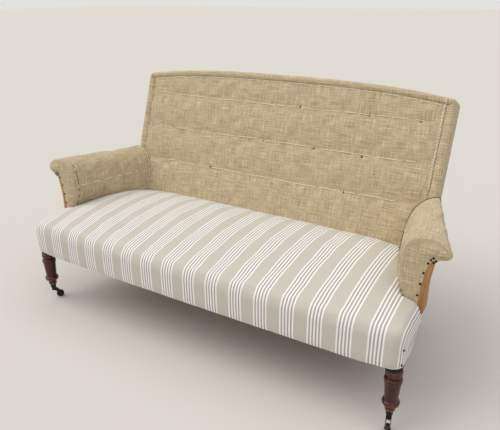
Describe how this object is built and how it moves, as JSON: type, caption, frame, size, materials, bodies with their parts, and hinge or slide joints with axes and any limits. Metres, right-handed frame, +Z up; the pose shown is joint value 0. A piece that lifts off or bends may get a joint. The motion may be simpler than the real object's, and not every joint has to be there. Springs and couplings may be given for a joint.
{
  "type": "sofa",
  "caption": "Sprung sofa with a raked arched back, low arms that roll outward, a striped tight seat, turned front legs and small castors.",
  "frame": {"origin": "on the floor, under the middle of the sofa's bounding box", "axes": "+X along the sofa, to the right as seen from its front; +Y from the front to the back; +Z up"},
  "size_m": [1.763, 0.84, 0.9713],
  "materials": {
    "beech": "raw sawn hardwood",
    "mahogany": "old dark polish",
    "jute_webbing": "woven jute",
    "spring_steel": "coppered wire",
    "hessian": "open plain weave",
    "stuffing": "curled fibre",
    "ticking": "woven stripe",
    "cast_iron": "worn dark metal"
  },
  "bodies": {
    "sofa": {"front_seat_rail": "beech", "back_seat_rail": "beech", "side_seat_rail_right": "beech", "side_seat_rail_left": "beech", "front_corner_brace_right": "beech", "front_corner_brace_left": "beech", "rear_corner_brace_right": "beech", "rear_corner_brace_left": "beech", "back_top_rail": "beech", "back_lower_rail": "beech", "back_upright_right": "beech", "back_upright_left": "beech", "arm_stump_right": "beech", "arm_stump_left": "beech", "arm_top_rail_right": "beech", "arm_top_rail_left": "beech", "arm_lower_rail_right": "beech", "arm_lower_rail_left": "beech", "front_leg_right": "mahogany", "front_leg_left": "mahogany", "back_leg_right": "mahogany", "back_leg_left": "mahogany", "seat_webbing": "jute_webbing", "back_webbing": "jute_webbing", "spring_row_front": "spring_steel", "spring_row_middle": "spring_steel", "spring_row_back": "spring_steel", "spring_canvas": "hessian", "back_scrim": "hessian", "outside_back_cloth": "hessian", "arm_lining_right": "hessian", "arm_lining_left": "hessian", "arm_scrim_right": "hessian", "arm_scrim_left": "hessian", "outside_arm_cloth_right": "hessian", "outside_arm_cloth_left": "hessian", "seat_stuffing": "stuffing", "back_stuffing": "stuffing", "arm_stuffing_right": "stuffing", "arm_stuffing_left": "stuffing", "seat_cover": "ticking", "castor_cup_front_left": "cast_iron", "castor_cup_front_right": "cast_iron", "castor_cup_back_left": "cast_iron", "castor_cup_back_right": "cast_iron"},
    "horn_front_left": {"castor_horn_front_left": "cast_iron", "castor_axle_front_left": "cast_iron"},
    "wheel_front_left": {"castor_wheel_front_left": "cast_iron"},
    "horn_front_right": {"castor_horn_front_right": "cast_iron", "castor_axle_front_right": "cast_iron"},
    "wheel_front_right": {"castor_wheel_front_right": "cast_iron"},
    "horn_back_left": {"castor_horn_back_left": "cast_iron", "castor_axle_back_left": "cast_iron"},
    "wheel_back_left": {"castor_wheel_back_left": "cast_iron"},
    "horn_back_right": {"castor_horn_back_right": "cast_iron", "castor_axle_back_right": "cast_iron"},
    "wheel_back_right": {"castor_wheel_back_right": "cast_iron"}
  },
  "joints": [
    {"name": "swivel_front_left", "type": "hinge", "parent": "sofa", "child": "horn_front_left", "pos_m": [-0.79, -0.375, 0.045], "axis": [0, 0, 1], "continuous": true},
    {"name": "roll_front_left", "type": "hinge", "parent": "horn_front_left", "child": "wheel_front_left", "pos_m": [-0.77516, -0.35488, 0.0163], "axis": [-0.8049, 0.5934, 0], "continuous": true},
    {"name": "swivel_front_right", "type": "hinge", "parent": "sofa", "child": "horn_front_right", "pos_m": [0.79, -0.375, 0.045], "axis": [0, 0, 1], "continuous": true},
    {"name": "roll_front_right", "type": "hinge", "parent": "horn_front_right", "child": "wheel_front_right", "pos_m": [0.7955, -0.39939, 0.0163], "axis": [0.9755, 0.2198, 0], "continuous": true},
    {"name": "swivel_back_left", "type": "hinge", "parent": "sofa", "child": "horn_back_left", "pos_m": [-0.7147, 0.246, 0.045], "axis": [0, 0, 1], "continuous": true},
    {"name": "roll_back_left", "type": "hinge", "parent": "horn_back_left", "child": "wheel_back_left", "pos_m": [-0.73009, 0.2657, 0.0163], "axis": [-0.788, -0.6157, 0], "continuous": true},
    {"name": "swivel_back_right", "type": "hinge", "parent": "sofa", "child": "horn_back_right", "pos_m": [0.7147, 0.246, 0.045], "axis": [0, 0, 1], "continuous": true},
    {"name": "roll_back_right", "type": "hinge", "parent": "horn_back_right", "child": "wheel_back_right", "pos_m": [0.69263, 0.25774, 0.0163], "axis": [-0.4695, -0.8829, 0], "continuous": true}
  ]
}
